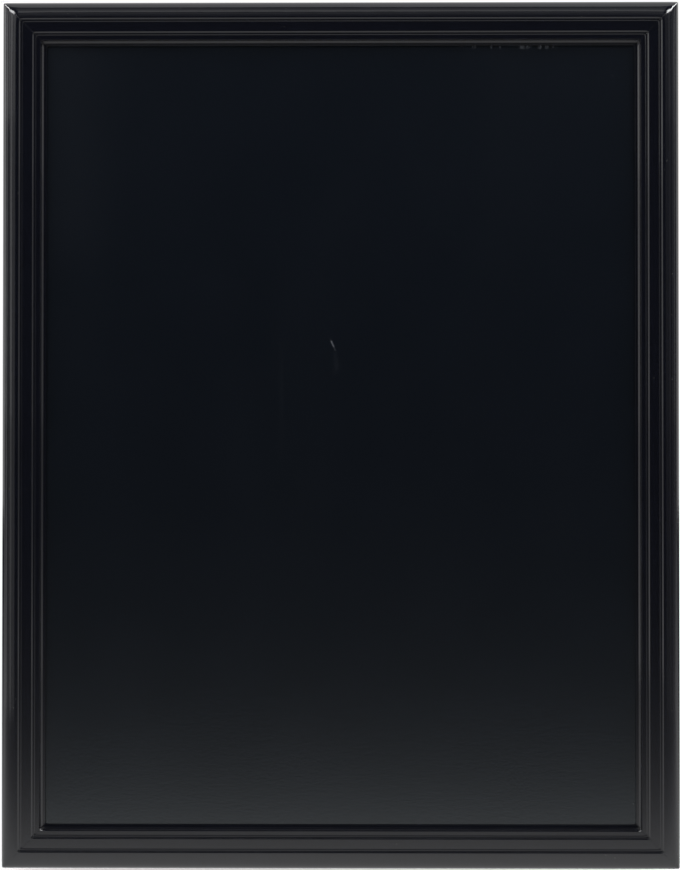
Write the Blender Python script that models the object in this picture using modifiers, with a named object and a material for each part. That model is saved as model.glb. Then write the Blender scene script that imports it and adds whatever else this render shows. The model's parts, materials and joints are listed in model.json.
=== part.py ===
"""Wall chalkboard: a coated panel in a mitred, stepped black moulding, hung on two ring hangers.

Everything is in metres. The wall sets the frame: y = 0 is the wall's surface, +Z is up, the writing face
looks along -Y, and the origin lies midway between the pivots of the two hanging rings.
"""

import math

import bmesh
import bpy
from mathutils import Matrix, Vector

# Overall size, over the outer edges of the moulding
BOARD_WIDTH = 0.703
BOARD_HEIGHT = 0.900

# Moulding, from its outer edge to the sight edge: an ovolo, then three steps down, the last one to the lip.
# A step is a straight fall at an angle from the tread's arris, which runs out into a cove.
OVOLO_WIDTH = 0.0181
OVOLO_HEIGHT = 0.0117
OUTER_FALL_ANGLE = 40.0
OUTER_FALL_LENGTH = 0.0011
OUTER_COVE_RADIUS = 0.0050
OUTER_TREAD_WIDTH = 0.0096
MIDDLE_FALL_ANGLE = 45.0
MIDDLE_FALL_LENGTH = 0.0008
MIDDLE_COVE_RADIUS = 0.0046
MIDDLE_TREAD_WIDTH = 0.0035
INNER_FALL_ANGLE = 70.0
INNER_FALL_LENGTH = 0.0036
INNER_COVE_RADIUS = 0.0040
LIP_WIDTH = 0.0006
LIP_THICKNESS = 0.0030
LIP_ROUND = 0.0004
ARRIS_ROUND = 0.0002

# Rabbet behind the lip, and the panel in it
RABBET_WIDTH = 0.0080
RABBET_DEPTH = 0.0080
PANEL_THICKNESS = 0.0040
PANEL_EDGE_PLAY = 0.0010
PANEL_EASED_EDGE = 0.0003

# Gaps: between the sawn ends of two rails, and between pieces that rest on each other
MITRE_GAP = 0.0003
SEAT_GAP = 0.0003

# Flat steel points, driven into the rabbet's wall to hold the panel
POINT_WIDTH = 0.0090
POINT_GAUGE = 0.0006
POINT_DRIVEN = 0.0070
POINT_EXPOSED = 0.0090
POINT_PITCH = 0.190
POINT_END_MARGIN = 0.040

# V-shaped corner nails, driven into the back of each mitre
V_NAIL_LEG = 0.0045
V_NAIL_GAUGE = 0.0006
V_NAIL_DEPTH = 0.0100
V_NAIL_SUNK = 0.0004
V_NAIL_INSET = 0.0090

# Ring hangers on the backs of the stiles
HANGER_DROP = 0.200
RING_WIRE = 0.0024
RING_INNER_WIDTH = 0.0160
RING_INNER_HEIGHT = 0.0126
RING_CORNER = 0.0020
RING_PLAY = 0.0003
STRAP_WIDTH = 0.0120
STRAP_LENGTH = 0.0460
STRAP_GAUGE = 0.0008
STRAP_LEAF_GAP = 0.0003
STRAP_CRIMP_ANGLE = 45.0

# Pan-head screws through the straps
SCREW_SHANK = 0.0032
SCREW_HEAD = 0.0068
SCREW_HEAD_HEIGHT = 0.0021
SCREW_LENGTH = 0.0140
SCREW_POINT_LENGTH = 0.0040
SCREW_HOLE_PLAY = 0.0004
UPPER_SCREW_DROP = 0.0225
LOWER_SCREW_INSET = 0.0075

# Rubber bumpers that keep the lower edge off the wall, level with the hangers
BUMPER_STAND_OFF = 0.0052
BUMPER_DIAMETER = 0.0120
BUMPER_ROUND = 0.0012
BUMPER_INSET = 0.060

# Facets
OVOLO_STEPS = 14
COVE_STEPS = 6
ROUND_STEPS = 3
RING_ARCH_STEPS = 12
TURN_STEPS = 24
WIRE_RESOLUTION = 2
SHARP_ANGLE = 30.0
MERGE_DISTANCE = 0.000005
CUTTER_OVERRUN = 0.005


def step_run(angle, fall, cove):
    """Width across one step of the moulding, from its arris to the foot of its cove."""
    turn = math.radians(angle)
    return (ARRIS_ROUND + cove) * math.sin(turn) + fall * math.cos(turn)


def step_drop(angle, fall, cove):
    """Height of one step of the moulding."""
    turn = math.radians(angle)
    return (ARRIS_ROUND + cove) * (1 - math.cos(turn)) + fall * math.sin(turn)


# Sizes that follow from those above
STEPS = (
    (OUTER_FALL_ANGLE, OUTER_FALL_LENGTH, OUTER_COVE_RADIUS),
    (MIDDLE_FALL_ANGLE, MIDDLE_FALL_LENGTH, MIDDLE_COVE_RADIUS),
    (INNER_FALL_ANGLE, INNER_FALL_LENGTH, INNER_COVE_RADIUS),
)
TREADS = (OUTER_TREAD_WIDTH, MIDDLE_TREAD_WIDTH, LIP_WIDTH)
MOULDING_WIDTH = OVOLO_WIDTH + sum(step_run(*step) for step in STEPS) + sum(TREADS)
MOULDING_DEPTH = RABBET_DEPTH + LIP_THICKNESS + sum(step_drop(*step) for step in STEPS)
SIDE_HEIGHT = MOULDING_DEPTH - OVOLO_HEIGHT
LAND_WIDTH = MOULDING_WIDTH - RABBET_WIDTH
BACK_Y = -BUMPER_STAND_OFF
TOP_Z = HANGER_DROP
BOTTOM_Z = TOP_Z - BOARD_HEIGHT
CENTRE_Z = (TOP_Z + BOTTOM_Z) / 2
WIRE_RADIUS = RING_WIRE / 2
LOOP_RADIUS = WIRE_RADIUS + RING_PLAY + STRAP_GAUGE / 2
PIVOT_X = BOARD_WIDTH / 2 - LAND_WIDTH / 2
PIVOT_STAND_OFF = SEAT_GAP + LOOP_RADIUS + STRAP_GAUGE / 2
PIVOT_Y = BACK_Y + PIVOT_STAND_OFF
RING_HEIGHT = RING_INNER_HEIGHT + RING_WIRE
RING_HALF_WIDTH = (RING_INNER_WIDTH + RING_WIRE) / 2
LEAF_Y = -LOOP_RADIUS + STRAP_GAUGE + STRAP_LEAF_GAP
LOWER_SCREW_DROP = STRAP_LENGTH - LOWER_SCREW_INSET

# Axes of a rail: u runs down from the outer edge, h forward from the back, and the length along X
SECTION_TO_RAIL = Matrix(((0, 0, -1), (0, -1, 0), (-1, 0, 0))).to_4x4()
# Axes of a panel point: driven along the rail's +Z, its width along X, its gauge along Y
POINT_TO_RAIL = Matrix(((0, 1, 0), (0, 0, 1), (1, 0, 0))).to_4x4()
# A turned piece stands on its own Z, which points back at the wall
TURNED_TO_WALL = Matrix.Rotation(-math.pi / 2, 4, "X")


def clear_scene():
    for obj in list(bpy.data.objects):
        bpy.data.objects.remove(obj, do_unlink=True)


def new_collection(name, parent=None):
    made = bpy.data.collections.new(name)
    (parent or bpy.context.scene.collection).children.link(made)
    return made


def new_material(name, colour, roughness, metallic=0.0):
    made = bpy.data.materials.new(name)
    made.use_nodes = True
    shader = made.node_tree.nodes["Principled BSDF"]
    shader.inputs["Base Color"].default_value = (*colour, 1.0)
    shader.inputs["Roughness"].default_value = roughness
    shader.inputs["Metallic"].default_value = metallic
    return made


def add_part(name, data, matrix, finish, parent=None):
    """A named piece of the board, placed in the world, or in its parent's axes."""
    part = bpy.data.objects.new(name, data)
    data.materials.append(finish)
    PARTS.objects.link(part)
    part.parent = parent
    part.matrix_basis = matrix
    return part


def add_cutter(name, mesh, matrix, *collections):
    """A hidden tool for Boolean cuts, linked to the collection of each piece that it cuts."""
    cutter = bpy.data.objects.new(name, mesh)
    cutter.matrix_basis = matrix
    cutter.hide_render = True
    cutter.display_type = "WIRE"
    for collection in collections:
        collection.objects.link(cutter)
    return cutter


def add_boolean(part, name, operation, tool):
    """Cuts part with an object, or with every object of a collection."""
    modifier = part.modifiers.new(name, "BOOLEAN")
    modifier.operation = operation
    modifier.solver = "EXACT"
    if isinstance(tool, bpy.types.Collection):
        modifier.operand_type = "COLLECTION"
        modifier.collection = tool
    else:
        modifier.object = tool


def arc(centre, radii, start, stop, steps):
    """Points of an elliptical arc in a plane, both ends included, with its angles in degrees."""
    points = []
    for i in range(steps + 1):
        angle = math.radians(start + (stop - start) * i / steps)
        points.append((centre[0] + radii[0] * math.cos(angle), centre[1] + radii[1] * math.sin(angle)))
    return points


def outline_mesh(name, outline, thickness):
    """A flat outline in XY with this thickness along Z, centred on Z = 0."""
    curve = bpy.data.curves.new(name, "CURVE")
    curve.dimensions = "2D"
    curve.fill_mode = "BOTH"
    curve.extrude = thickness / 2
    spline = curve.splines.new("POLY")
    spline.points.add(len(outline) - 1)
    for point, (x, y) in zip(spline.points, outline):
        point.co = (x, y, 0.0, 1.0)
    spline.use_cyclic_u = True
    drawn = bpy.data.objects.new(name, curve)
    bpy.context.scene.collection.objects.link(drawn)
    graph = bpy.context.evaluated_depsgraph_get()
    mesh = bpy.data.meshes.new_from_object(drawn.evaluated_get(graph))
    mesh.name = name
    bpy.data.objects.remove(drawn)
    bpy.data.curves.remove(curve)
    close_mesh(mesh)
    return mesh


def close_mesh(mesh):
    """Welds loose caps to their sides, points every face outwards and shades what curves as smooth."""
    shape = bmesh.new()
    shape.from_mesh(mesh)
    bmesh.ops.remove_doubles(shape, verts=shape.verts, dist=MERGE_DISTANCE)
    bmesh.ops.recalc_face_normals(shape, faces=shape.faces)
    shape.to_mesh(mesh)
    shape.free()
    mesh.shade_smooth()
    mesh.set_sharp_from_angle(angle=math.radians(SHARP_ANGLE))


def turned_part(name, section, matrix, finish, parent=None):
    """A piece turned about its own Z from a section of (radius, height) that ends on the axis."""
    mesh = bpy.data.meshes.new(name)
    points = [(radius, 0.0, height) for radius, height in section]
    mesh.from_pydata(points, [(i, i + 1) for i in range(len(points) - 1)], [])
    part = add_part(name, mesh, matrix, finish, parent)
    screw = part.modifiers.new("turn", "SCREW")
    screw.axis = "Z"
    screw.steps = TURN_STEPS
    screw.render_steps = TURN_STEPS
    screw.use_merge_vertices = True
    screw.merge_threshold = MERGE_DISTANCE
    screw.use_smooth_shade = True
    return part


def cylinder_mesh(name, radius, length):
    """A cylinder along Z, centred on the origin."""
    mesh = bpy.data.meshes.new(name)
    shape = bmesh.new()
    bmesh.ops.create_cone(
        shape, cap_ends=True, segments=TURN_STEPS, radius1=radius, radius2=radius, depth=length
    )
    shape.to_mesh(mesh)
    shape.free()
    return mesh


def moulding_section():
    """Outline of the moulding as (u, h): u from the outer edge inwards, h from the back forwards."""
    outline = [(0.0, 0.0)]
    outline += arc((OVOLO_WIDTH, SIDE_HEIGHT), (OVOLO_WIDTH, OVOLO_HEIGHT), 180, 90, OVOLO_STEPS)[:-1]
    u = OVOLO_WIDTH
    h = MOULDING_DEPTH
    for (angle, fall, cove), tread in zip(STEPS, TREADS):
        outline += arc((u, h - ARRIS_ROUND), (ARRIS_ROUND, ARRIS_ROUND), 90, 90 - angle, ROUND_STEPS)
        u += step_run(angle, fall, cove)
        h -= step_drop(angle, fall, cove)
        outline += arc((u, h + cove), (cove, cove), 270 - angle, 270, COVE_STEPS)
        u += tread
    outline += arc((u - LIP_ROUND, h - LIP_ROUND), (LIP_ROUND, LIP_ROUND), 90, 0, ROUND_STEPS)
    outline += [(u, RABBET_DEPTH), (LAND_WIDTH, RABBET_DEPTH), (LAND_WIDTH, 0.0)]
    return outline


def saw_mitres(mesh, length):
    """Saws both ends of a rail at 45 degrees, through the corners of its outer edge less half the joint."""
    shape = bmesh.new()
    shape.from_mesh(mesh)
    for side in (-1, 1):
        normal = Vector((side, 0, -1)).normalized()
        corner = Vector((side * length / 2, 0, 0))
        cut = bmesh.ops.bisect_plane(
            shape,
            geom=shape.verts[:] + shape.edges[:] + shape.faces[:],
            plane_co=corner - normal * MITRE_GAP / 2,
            plane_no=normal,
            clear_outer=True,
        )
        sawn = [item for item in cut["geom_cut"] if isinstance(item, bmesh.types.BMEdge)]
        bmesh.ops.edgeloop_fill(shape, edges=sawn)
    bmesh.ops.recalc_face_normals(shape, faces=shape.faces)
    shape.to_mesh(mesh)
    shape.free()


def add_rail(name, length, location, angle):
    """One mitred length of the moulding, turned about Y so that its section faces the board's middle."""
    mesh = outline_mesh(name, moulding_section(), length)
    mesh.transform(SECTION_TO_RAIL)
    saw_mitres(mesh, length)
    matrix = Matrix.Translation(location) @ Matrix.Rotation(math.radians(angle), 4, "Y")
    rail = add_part(name, mesh, matrix, LACQUER)
    add_boolean(rail, "slots_and_holes", "DIFFERENCE", RAIL_CUTTERS[name])
    return rail


def add_panel():
    """The writing panel, loose by its edge play inside the rabbet."""
    opening_inset = 2 * (LAND_WIDTH + PANEL_EDGE_PLAY)
    mesh = bpy.data.meshes.new("writing_panel")
    shape = bmesh.new()
    bmesh.ops.create_cube(shape, size=1.0)
    size = (BOARD_WIDTH - opening_inset, PANEL_THICKNESS, BOARD_HEIGHT - opening_inset)
    bmesh.ops.scale(shape, vec=size, verts=shape.verts)
    shape.to_mesh(mesh)
    shape.free()
    middle_y = BACK_Y - RABBET_DEPTH + SEAT_GAP + PANEL_THICKNESS / 2
    panel = add_part("writing_panel", mesh, Matrix.Translation((0, middle_y, CENTRE_Z)), CHALK_COAT)
    bevel = panel.modifiers.new("eased_edges", "BEVEL")
    bevel.width = PANEL_EASED_EDGE
    bevel.segments = 1
    return panel


def point_outline(grow=0.0):
    """A panel point in XY: +X is driven into the wood and ends in a nose, and x = 0 is the rabbet's wall."""
    half = POINT_WIDTH / 2 + grow
    shoulder = POINT_DRIVEN - POINT_WIDTH / 2
    return [
        (-POINT_EXPOSED, -half),
        (shoulder + grow, -half),
        (POINT_DRIVEN + 2 * grow, 0.0),
        (shoulder + grow, half),
        (-POINT_EXPOSED, half),
    ]


def add_panel_points(rail, side, length):
    """Steel points along one rail, behind the panel, each in a slot of the rabbet's wall."""
    run = length - 2 * (LAND_WIDTH + POINT_END_MARGIN)
    count = int(run / POINT_PITCH) + 1
    depth = RABBET_DEPTH - PANEL_THICKNESS - 2 * SEAT_GAP - POINT_GAUGE / 2
    for i in range(count):
        along = (i - (count - 1) / 2) * POINT_PITCH
        place = rail.matrix_basis @ Matrix.Translation((along, -depth, -LAND_WIDTH)) @ POINT_TO_RAIL
        name = f"panel_point_{side}_{i + 1}"
        add_part(name, outline_mesh(name, point_outline(), POINT_GAUGE), place, ZINC)
        slot = outline_mesh(name + "_slot", point_outline(SEAT_GAP), POINT_GAUGE + 2 * SEAT_GAP)
        add_cutter(name + "_slot", slot, place, RAIL_CUTTERS[rail.name])


def chevron_outline(grow=0.0):
    """A V in XY with its point at -X and its legs 45 degrees either side of +X."""
    half = V_NAIL_GAUGE / 2 + grow
    reach = (V_NAIL_LEG + grow) * math.sqrt(0.5)
    offset = half * math.sqrt(0.5)
    return [
        (-2 * offset, 0.0),
        (reach - offset, reach + offset),
        (reach + offset, reach - offset),
        (2 * offset, 0.0),
        (reach + offset, offset - reach),
        (reach - offset, -reach - offset),
    ]


def add_corner_nails(corner, side_x, side_z, rail_names):
    """Two V nails across the mitre of one corner, one near the outer edge and one near the rabbet."""
    inward = Vector((-side_x, 0, -side_z)).normalized()
    backward = Vector((0, 1, 0))
    axes = Matrix((inward, backward.cross(inward), backward)).transposed().to_4x4()
    outer = Vector((side_x * BOARD_WIDTH / 2, BACK_Y, CENTRE_Z + side_z * BOARD_HEIGHT / 2))
    cutters = [RAIL_CUTTERS[name] for name in rail_names]
    for label, inset in (("outer", V_NAIL_INSET), ("inner", LAND_WIDTH - V_NAIL_INSET)):
        on_mitre = outer + inward * inset * math.sqrt(2)
        middle = on_mitre - backward * (V_NAIL_SUNK + V_NAIL_DEPTH / 2)
        name = f"v_nail_{corner}_{label}"
        nail = outline_mesh(name, chevron_outline(), V_NAIL_DEPTH)
        add_part(name, nail, Matrix.Translation(middle) @ axes, ZINC)
        slot_depth = V_NAIL_SUNK + V_NAIL_DEPTH + SEAT_GAP + CUTTER_OVERRUN
        slot = outline_mesh(name + "_slot", chevron_outline(SEAT_GAP), slot_depth)
        slot_middle = on_mitre + backward * (CUTTER_OVERRUN - slot_depth / 2)
        add_cutter(name + "_slot", slot, Matrix.Translation(slot_middle) @ axes, *cutters)


def strap_fold():
    """Mid-line of the folded strap as (y, z) about the pivot: up the frame, round the wire and down."""
    turn = STRAP_CRIMP_ANGLE
    fold = [(-LOOP_RADIUS, -STRAP_LENGTH)]
    fold += arc((0.0, 0.0), (LOOP_RADIUS, LOOP_RADIUS), 180, -turn, RING_ARCH_STEPS)
    leave_y = fold[-1][0]
    leave_z = fold[-1][1]
    crimp_z = leave_z - (leave_y - LEAF_Y) / math.tan(math.radians(turn))
    tangent = LOOP_RADIUS * math.tan(math.radians(turn / 2))
    centre = (LEAF_Y + LOOP_RADIUS, crimp_z - tangent)
    fold += arc(centre, (LOOP_RADIUS, LOOP_RADIUS), 180 - turn, 180, ROUND_STEPS)
    fold.append((LEAF_Y, -STRAP_LENGTH))
    return fold


def strap_blank():
    """Outline of the strap seen from the wall, as (x, z): square above the pivot, round at its lower end."""
    half = STRAP_WIDTH / 2
    top = LOOP_RADIUS + STRAP_GAUGE
    lower = arc((0.0, half - STRAP_LENGTH + STRAP_GAUGE), (half, half), 180, 360, OVOLO_STEPS)
    return [(half, top), (-half, top)] + lower


def add_strap(side, hanger):
    """A steel strip folded round the ring's wire, trimmed to its outline and drilled for two screws."""
    name = f"{side}_hanger_strap"
    mesh = bpy.data.meshes.new(name)
    shape = bmesh.new()
    sheet_edge = STRAP_WIDTH / 2 + CUTTER_OVERRUN
    verts = [shape.verts.new((-sheet_edge, y, z)) for y, z in strap_fold()]
    edges = [shape.edges.new(pair) for pair in zip(verts, verts[1:])]
    pulled = bmesh.ops.extrude_edge_only(shape, edges=edges)["geom"]
    moved = [item for item in pulled if isinstance(item, bmesh.types.BMVert)]
    bmesh.ops.translate(shape, verts=moved, vec=(2 * sheet_edge, 0, 0))
    bmesh.ops.recalc_face_normals(shape, faces=shape.faces)
    shape.to_mesh(mesh)
    shape.free()
    strap = add_part(name, mesh, Matrix.Identity(4), ZINC, hanger)
    gauge = strap.modifiers.new("gauge", "SOLIDIFY")
    gauge.thickness = STRAP_GAUGE
    gauge.offset = 0.0
    gauge.use_even_offset = True
    blank = outline_mesh(name + "_blank", strap_blank(), 4 * (LOOP_RADIUS + STRAP_GAUGE))
    stand_up = Matrix.Rotation(math.pi / 2, 4, "X")
    tools = new_collection(name + "_cutters", CUTTERS)
    outline_tool = add_cutter(name + "_blank", blank, stand_up, tools)
    outline_tool.parent = hanger
    add_boolean(strap, "outline", "INTERSECT", outline_tool)
    for label, drop in SCREW_DROPS:
        hole = cylinder_mesh(name + "_hole", SCREW_SHANK / 2 + SCREW_HOLE_PLAY, 4 * CUTTER_OVERRUN)
        place = Matrix.Translation((0, 0, -drop)) @ stand_up
        drill = add_cutter(f"{name}_{label}_hole", hole, place, tools)
        drill.parent = hanger
        add_boolean(strap, f"{label}_hole", "DIFFERENCE", drill)


def ring_path():
    """Mid-line of the ring's wire as (x, z): a bar along X, rounded corners and a half-round arch."""
    arch_z = RING_HEIGHT - RING_HALF_WIDTH
    corner_x = RING_HALF_WIDTH - RING_CORNER
    corner_radii = (RING_CORNER, RING_CORNER)
    path = arc((corner_x, RING_CORNER), corner_radii, -90, 0, ROUND_STEPS)
    path += arc((0.0, arch_z), (RING_HALF_WIDTH, RING_HALF_WIDTH), 0, 180, RING_ARCH_STEPS)
    path += arc((-corner_x, RING_CORNER), corner_radii, 180, 270, ROUND_STEPS)
    return path


def add_ring(side, hanger):
    """The ring stands up from its pivot and leans on the back of the stile."""
    name = f"{side}_hanging_ring"
    wire = bpy.data.curves.new(name, "CURVE")
    wire.dimensions = "3D"
    wire.bevel_depth = WIRE_RADIUS
    wire.bevel_resolution = WIRE_RESOLUTION
    spline = wire.splines.new("POLY")
    path = ring_path()
    spline.points.add(len(path) - 1)
    for point, (x, z) in zip(spline.points, path):
        point.co = (x, 0.0, z, 1.0)
    spline.use_cyclic_u = True
    lean = math.asin((PIVOT_STAND_OFF - WIRE_RADIUS - SEAT_GAP) / RING_HEIGHT)
    add_part(name, wire, Matrix.Rotation(lean, 4, "X"), ZINC, hanger)


def screw_section():
    """Half section of a pan-head screw, from its crown to its point; the head seats at height 0."""
    head = SCREW_HEAD / 2
    shank = SCREW_SHANK / 2
    crown = arc((0.0, 0.0), (head, SCREW_HEAD_HEIGHT), 90, 0, COVE_STEPS)
    return [*crown, (shank, 0.0), (shank, SCREW_POINT_LENGTH - SCREW_LENGTH), (0.0, -SCREW_LENGTH)]


def add_screws(side, hanger, stile_name):
    """Two screws through the strap into the stile, each with its pilot hole."""
    seat_y = LEAF_Y + STRAP_GAUGE / 2 + SEAT_GAP
    for label, drop in SCREW_DROPS:
        name = f"{side}_hanger_{label}_screw"
        seat = Matrix.Translation((0, seat_y, -drop)) @ TURNED_TO_WALL
        turned_part(name, screw_section(), seat, ZINC, hanger)
        in_wood = SCREW_LENGTH - seat_y - PIVOT_STAND_OFF + SEAT_GAP
        length = in_wood + CUTTER_OVERRUN
        pilot = cylinder_mesh(name + "_pilot", SCREW_SHANK / 2 + SEAT_GAP, length)
        middle = Vector((0, CUTTER_OVERRUN - length / 2 - PIVOT_STAND_OFF, -drop))
        place = hanger.matrix_basis @ Matrix.Translation(middle) @ TURNED_TO_WALL
        add_cutter(name + "_pilot", pilot, place, RAIL_CUTTERS[stile_name])


def add_hanger(side, side_x):
    """One ring hanger on the back of a stile, grouped under an empty on the ring's pivot."""
    hanger = bpy.data.objects.new(f"{side}_hanger", None)
    hanger.matrix_basis = Matrix.Translation((side_x * PIVOT_X, PIVOT_Y, 0))
    PARTS.objects.link(hanger)
    add_strap(side, hanger)
    add_ring(side, hanger)
    add_screws(side, hanger, f"{side}_stile")


def add_bumper(side, side_x):
    """A rubber button on the back of the bottom rail, whose flat face meets the wall."""
    radius = BUMPER_DIAMETER / 2
    height = BUMPER_STAND_OFF - SEAT_GAP
    rim_centre = (radius - BUMPER_ROUND, height - BUMPER_ROUND)
    rim = arc(rim_centre, (BUMPER_ROUND, BUMPER_ROUND), 90, 0, ROUND_STEPS)
    section = [(0.0, height), *rim, (radius, 0.0), (0.0, 0.0)]
    place = Vector((side_x * (BOARD_WIDTH / 2 - BUMPER_INSET), BACK_Y + SEAT_GAP, BOTTOM_Z + LAND_WIDTH / 2))
    turned_part(f"{side}_bumper", section, Matrix.Translation(place) @ TURNED_TO_WALL, RUBBER)


clear_scene()
PARTS = new_collection("wall_chalkboard")
CUTTERS = new_collection("cutters")
LACQUER = new_material("black_lacquer", (0.012, 0.012, 0.013), 0.25)
CHALK_COAT = new_material("chalkboard_coat", (0.006, 0.007, 0.008), 0.5)
ZINC = new_material("zinc_plated_steel", (0.62, 0.62, 0.6), 0.35, metallic=1.0)
RUBBER = new_material("black_rubber", (0.02, 0.02, 0.02), 0.8)

SCREW_DROPS = (("upper", UPPER_SCREW_DROP), ("lower", LOWER_SCREW_DROP))
RAILS = {
    "top_rail": ("top", BOARD_WIDTH, (0, BACK_Y, TOP_Z), 0),
    "bottom_rail": ("bottom", BOARD_WIDTH, (0, BACK_Y, BOTTOM_Z), 180),
    "left_stile": ("left", BOARD_HEIGHT, (-BOARD_WIDTH / 2, BACK_Y, CENTRE_Z), -90),
    "right_stile": ("right", BOARD_HEIGHT, (BOARD_WIDTH / 2, BACK_Y, CENTRE_Z), 90),
}
RAIL_CUTTERS = {name: new_collection(name + "_cutters", CUTTERS) for name in RAILS}

for rail_name, (rail_side, rail_length, rail_place, rail_angle) in RAILS.items():
    made_rail = add_rail(rail_name, rail_length, rail_place, rail_angle)
    add_panel_points(made_rail, rail_side, rail_length)
for side_name, side_sign in (("left", -1), ("right", 1)):
    add_corner_nails(f"top_{side_name}", side_sign, 1, ("top_rail", f"{side_name}_stile"))
    add_corner_nails(f"bottom_{side_name}", side_sign, -1, ("bottom_rail", f"{side_name}_stile"))
    add_hanger(side_name, side_sign)
    add_bumper(side_name, side_sign)
add_panel()
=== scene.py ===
"""Looks of the wall chalkboard: lacquered moulding, chalkboard panel, hanging hardware, light and camera.

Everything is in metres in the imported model's frame: y = 0 is the wall, +Z is up, and the writing face
looks along -Y.
"""

import json
import math

import bmesh
import bpy
from mathutils import Euler, Matrix, Vector


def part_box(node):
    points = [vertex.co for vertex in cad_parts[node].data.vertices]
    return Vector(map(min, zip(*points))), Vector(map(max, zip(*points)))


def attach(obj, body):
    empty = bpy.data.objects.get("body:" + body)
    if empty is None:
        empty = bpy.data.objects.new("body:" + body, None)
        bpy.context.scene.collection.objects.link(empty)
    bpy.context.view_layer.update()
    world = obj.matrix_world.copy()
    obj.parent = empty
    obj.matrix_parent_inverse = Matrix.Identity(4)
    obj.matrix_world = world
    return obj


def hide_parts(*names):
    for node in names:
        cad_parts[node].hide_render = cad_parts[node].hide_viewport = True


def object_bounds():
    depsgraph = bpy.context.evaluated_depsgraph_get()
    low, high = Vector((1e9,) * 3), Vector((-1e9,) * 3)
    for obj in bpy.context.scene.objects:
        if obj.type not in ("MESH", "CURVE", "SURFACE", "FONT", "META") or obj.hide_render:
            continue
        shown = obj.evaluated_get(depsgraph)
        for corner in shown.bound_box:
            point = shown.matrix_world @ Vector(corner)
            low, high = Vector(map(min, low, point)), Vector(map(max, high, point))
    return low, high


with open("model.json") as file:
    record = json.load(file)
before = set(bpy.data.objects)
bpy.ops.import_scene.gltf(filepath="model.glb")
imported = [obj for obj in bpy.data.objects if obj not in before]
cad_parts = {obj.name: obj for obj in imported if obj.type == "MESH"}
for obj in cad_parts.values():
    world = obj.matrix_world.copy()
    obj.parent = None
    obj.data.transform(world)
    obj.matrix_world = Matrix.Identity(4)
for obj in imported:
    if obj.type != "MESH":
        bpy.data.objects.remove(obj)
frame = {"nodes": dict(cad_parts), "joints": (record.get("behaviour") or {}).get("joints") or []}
cad_low, cad_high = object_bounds()

# Moulding section: an ovolo, then two steps and a lip, as rows of heading in degrees below flat, radius of
# the bend into it and straight run. Each step of the part is cut finer here, as a fall and a smaller second
# one, and the lip gets a chamfer.
OVOLO_WIDTH = 0.0179
OVOLO_HEIGHT = 0.0117
DOUBLE_FALL = (
    (45.0, 0.0002, 0.0014),
    (0.0, 0.0016, 0.0006),
    (41.0, 0.0002, 0.0008),
)
FIRST_TREAD = (0.0, 0.0006, 0.0097)
SECOND_TREAD = (0.0, 0.0006, 0.0039)
LIP = (
    (75.0, 0.0002, 0.0036),
    (43.0, 0.0008, 0.0022),
    (20.0, 0.0006, 0.0024),
    (90.0, 0.0003, 0.0000),
)
STEPS = (*DOUBLE_FALL, FIRST_TREAD, *DOUBLE_FALL, SECOND_TREAD, *LIP)
RABBET_DEPTH = 0.0080
RABBET_WIDTH = 0.0080

# Lacquer: how far it rounds the mitres, at the edges and halfway up the ovolo, and the hairline between two
# rails
MITRE_ROUND = 0.0012
OVOLO_MITRE_ROUND = 0.0048
MITRE_SEAM = 0.00004

# Fineness of the meshes: steps of the arcs, and support points that keep the shading of straight runs flat
OVOLO_STEPS = 28
QUARTER_STEPS = 10
ROUND_STEPS = 5
TURN_STEPS = 48
EASED_STEPS = 3
STAMPED_STEPS = 2
RUN_SUPPORT = 0.00015

# Sections of a rail: near a mitre as multiples of half its rounding, then evenly between its two mitres
CORNER_STATIONS = (1.0, 1.25, 1.6, 2.1, 2.8, 4.0, 6.0, 10.0, 18.0, 30.0)
SPAN_STATIONS = 24

# Shading and clean-up: angles in degrees, the section's faces left bare at the back, the y of a normal below
# which a face of the panel is its front, the profile of a round edge, distances
SMOOTH_ANGLE = 40.0
FLAT_ANGLE = 1.0
BARE_FACES = 4
FRONT_NORMAL_Y = -0.5
ROUND_PROFILE = 0.5
WELD_DISTANCE = 0.00001
BOX_MARGIN = 0.000001

# Hardware, as in the part's source
PANEL_EASED_EDGE = 0.0003
RING_WIRE = 0.0024
RING_INNER_WIDTH = 0.0160
RING_INNER_HEIGHT = 0.0126
RING_CORNER = 0.0020
RING_SEAT_GAP = 0.0003
SCREW_SHANK = 0.0032
SCREW_HEAD = 0.0068
SCREW_HEAD_HEIGHT = 0.0021
SCREW_LENGTH = 0.0140
SCREW_POINT_LENGTH = 0.0040
BUMPER_ROUND = 0.0012

# Finer hardware: recess and thread of a screw, dimple of a bumper, slots of the corner nails, eased edges
# and the angles in degrees at which the screws are turned home
RECESS_LENGTH = 0.0038
RECESS_WIDTH = 0.0008
RECESS_DEPTH = 0.0013
RECESS_TAPER = 0.5
THREAD_PITCH = 0.0011
THREAD_DEPTH = 0.0004
PLAIN_PITCHES = 2
DIMPLE_RADIUS = 0.0028
DIMPLE_DEPTH = 0.0006
NAIL_CLEARANCE = 0.0002
SLOT_OVERRUN = 0.002
STAMPED_EDGE = 0.00012
STAMPED_EDGE_ANGLE = 40.0
BACK_EDGE_ROUND = 0.0004
SCREW_TURNS = (20.0, 65.0, 40.0, 5.0)

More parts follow.
